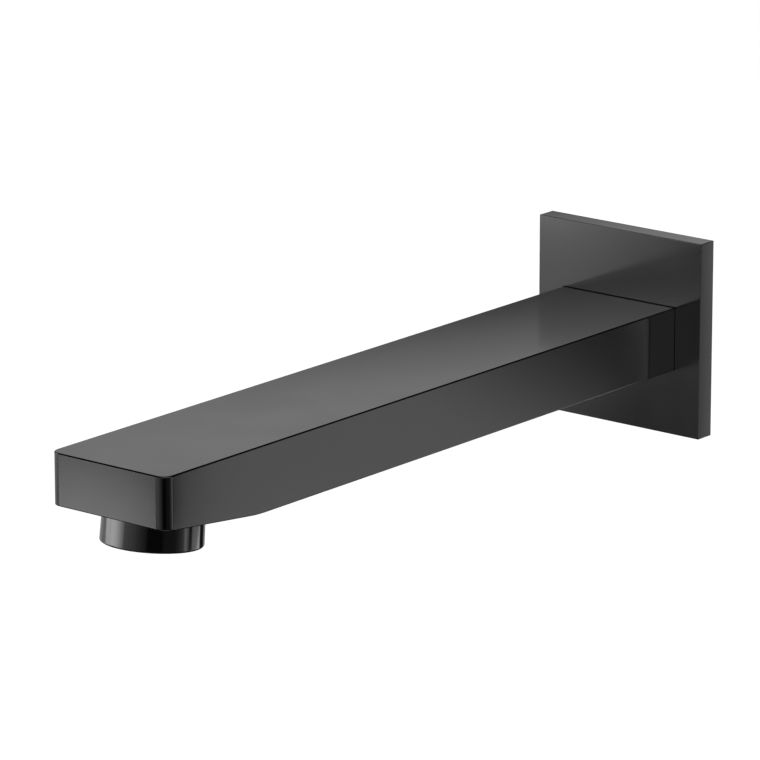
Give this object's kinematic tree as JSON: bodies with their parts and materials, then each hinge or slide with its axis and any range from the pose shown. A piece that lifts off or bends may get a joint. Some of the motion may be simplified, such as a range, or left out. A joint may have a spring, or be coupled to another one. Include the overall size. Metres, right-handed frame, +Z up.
{
  "type": "wall-mounted bath spout",
  "caption": "Fixed rectangular bath spout on a square wall plate, hollow body with a water tube, rising underside at the tip and a round screw-in aerator.",
  "frame": {"origin": "where the inlet axis meets the finished wall, at the centre line of the spout", "axes": "+Z up, +Y into the wall along the inlet axis, -Y out along the spout, +X to the right seen from the room; the wall is the plane Y = 0"},
  "size_m": [0.06, 0.2535, 0.06],
  "materials": {
    "satin_black": "satin black electrophoretic coating on brass",
    "brass": "machined",
    "black_rubber": "moulded EPDM",
    "foam": "closed-cell foam",
    "steel": "stainless, plain",
    "white_plastic": "moulded acetal",
    "grey_plastic": "moulded acetal"
  },
  "bodies": {
    "spout": {"spout_body": "satin_black", "inlet_block": "brass", "inlet_connector": "brass", "spigot_o_ring_rear": "black_rubber", "spigot_o_ring_front": "black_rubber", "water_tube": "white_plastic", "tube_o_ring_inlet": "black_rubber", "tube_o_ring_outlet": "black_rubber", "outlet_block": "brass"},
    "cover_plate": {"wall_plate": "satin_black", "plate_gasket": "foam", "plate_seal_ring": "black_rubber"},
    "aerator_stack": {"aerator_insert": "grey_plastic", "aerator_washer": "black_rubber", "inlet_screen": "grey_plastic", "flow_regulator": "white_plastic", "regulator_o_ring": "black_rubber", "jet_plate": "white_plastic", "mixing_screen": "steel", "outlet_grid": "grey_plastic"},
    "aerator_collar": {"aerator_housing": "satin_black"},
    "screw_pad": {"clamp_pad": "white_plastic"},
    "screw": {"grub_screw": "steel"}
  },
  "joints": [
    {"name": "plate_slide", "type": "slide", "parent": "spout", "child": "cover_plate", "axis": [0, -1, 0], "range_m": [0, 0.19]},
    {"name": "aerator_drop", "type": "slide", "parent": "spout", "child": "aerator_stack", "axis": [0, -0.1076, -0.9942], "range_m": [0, 0.005]},
    {"name": "aerator_turn", "type": "hinge", "parent": "aerator_stack", "child": "aerator_collar", "pos_m": [0, -0.2184, -0.00752], "axis": [0, -0.1076, -0.9942], "range_deg": [0, 1800]},
    {"name": "pad_travel", "type": "slide", "parent": "spout", "child": "screw_pad", "axis": [0, 0, -1], "range_m": [0, 0.0016]},
    {"name": "grub_screw_turn", "type": "hinge", "parent": "screw_pad", "child": "screw", "pos_m": [0, -0.014, 0], "axis": [0, 0, -1], "range_deg": [0, 720]}
  ],
  "couplings": [
    {"joint": "aerator_turn", "follows": "aerator_drop", "rad_per_m": 6283.1},
    {"joint": "grub_screw_turn", "follows": "pad_travel", "rad_per_m": 7853.9}
  ]
}
